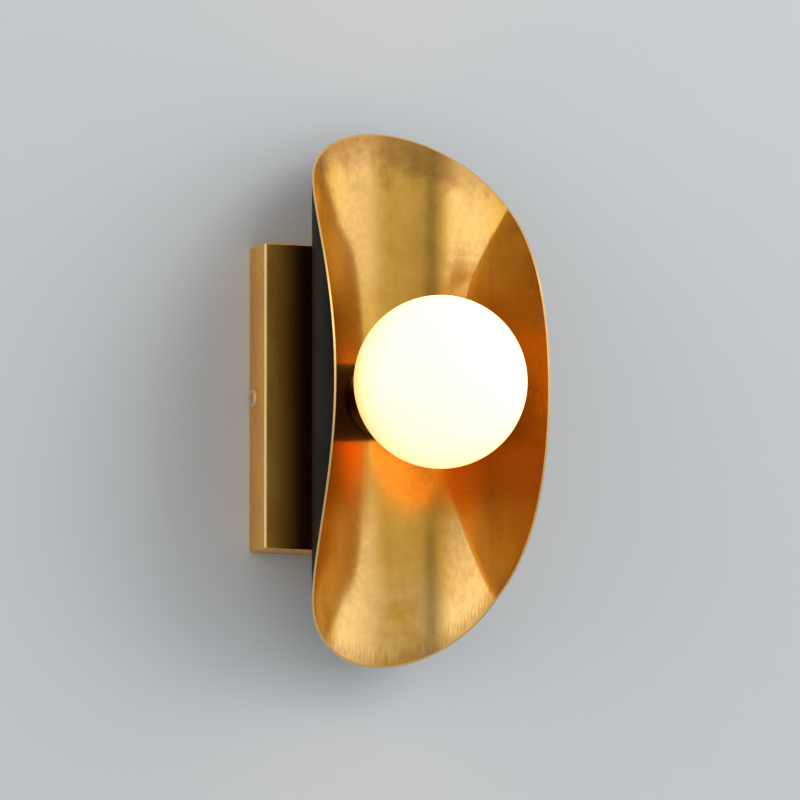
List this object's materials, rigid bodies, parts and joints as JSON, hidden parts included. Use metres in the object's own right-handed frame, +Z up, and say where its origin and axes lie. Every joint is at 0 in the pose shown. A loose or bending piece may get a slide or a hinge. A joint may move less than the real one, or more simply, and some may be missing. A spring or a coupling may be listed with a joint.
{
  "type": "wall sconce",
  "caption": "Wall sconce: bent brass shell with pointed ends behind a round opal globe lamp, on a shallow wall box.",
  "frame": {"origin": "on the wall plane, at the middle of the wall bracket, where the lamp axis meets the wall", "axes": "+Z up, +Y into the wall, so the lamp points along -Y, and +X to the right as seen from the room"},
  "size_m": [0.1364, 0.166, 0.2972],
  "materials": {
    "shell_brass": "aged brushed brass inside, dark bronzed outside",
    "box_brass": "aged brushed brass",
    "screw_brass": "pale turned brass",
    "cup_brass": "dark spun brass",
    "contact_brass": "bare stamped brass",
    "zinc_steel": "zinc plated steel",
    "black_nylon": "moulded nylon",
    "white_nylon": "moulded nylon",
    "holder_ceramic": "glazed ceramic, stated as gloss plastic",
    "brown_wire": "silicone insulation",
    "blue_wire": "silicone insulation",
    "green_wire": "silicone insulation",
    "opal_diffuser": "opal, softly glossy, lit",
    "collar_white": "moulded plastic",
    "cap_metal": "plain rolled metal",
    "led_yellow": "phosphor",
    "board_green": "circuit board"
  },
  "bodies": {
    "fixture": {"wall_bracket": "zinc_steel", "cable_bushing": "black_nylon", "box_cover": "box_brass", "side_screw_left": "screw_brass", "side_screw_right": "screw_brass", "shell_reflector": "shell_brass", "shell_saddle_washer": "black_nylon", "cup_saddle_washer": "black_nylon", "hollow_nipple": "zinc_steel", "box_hex_nut": "zinc_steel", "cup_hex_nut": "zinc_steel", "box_lock_washer": "zinc_steel", "socket_cup": "cup_brass", "holder_plate": "zinc_steel", "holder_body": "holder_ceramic", "screw_shell_liner": "contact_brass", "centre_contact": "contact_brass", "neutral_clamp": "contact_brass", "live_clamp": "contact_brass", "holder_screws": "zinc_steel", "terminal_block": "white_nylon", "terminal_inserts": "contact_brass", "terminal_screws": "zinc_steel", "block_fixing_screw": "zinc_steel", "live_wire": "brown_wire", "neutral_wire": "blue_wire", "earth_wire": "green_wire", "earth_ring_terminal": "zinc_steel", "earth_screw": "zinc_steel"},
    "bulb_tip": {"bulb_tip_contact": "contact_brass"},
    "bulb": {"bulb_globe": "opal_diffuser", "bulb_collar": "collar_white", "bulb_cap": "cap_metal", "bulb_cap_insulator": "black_nylon", "led_carrier": "cap_metal", "led_chips": "led_yellow", "driver_board": "board_green", "bulb_lead": "contact_brass"}
  },
  "joints": [
    {"name": "bulb_travel", "type": "slide", "parent": "fixture", "child": "bulb_tip", "axis": [0, -1, 0], "range_m": [0, 0.02]},
    {"name": "bulb_turn", "type": "hinge", "parent": "bulb_tip", "child": "bulb", "pos_m": [0, -0.05, 0], "axis": [0, -1, 0], "range_deg": [0, 1980]}
  ],
  "couplings": [
    {"joint": "bulb_travel", "follows": "bulb_turn", "m_per_rad": 0.00057757}
  ]
}
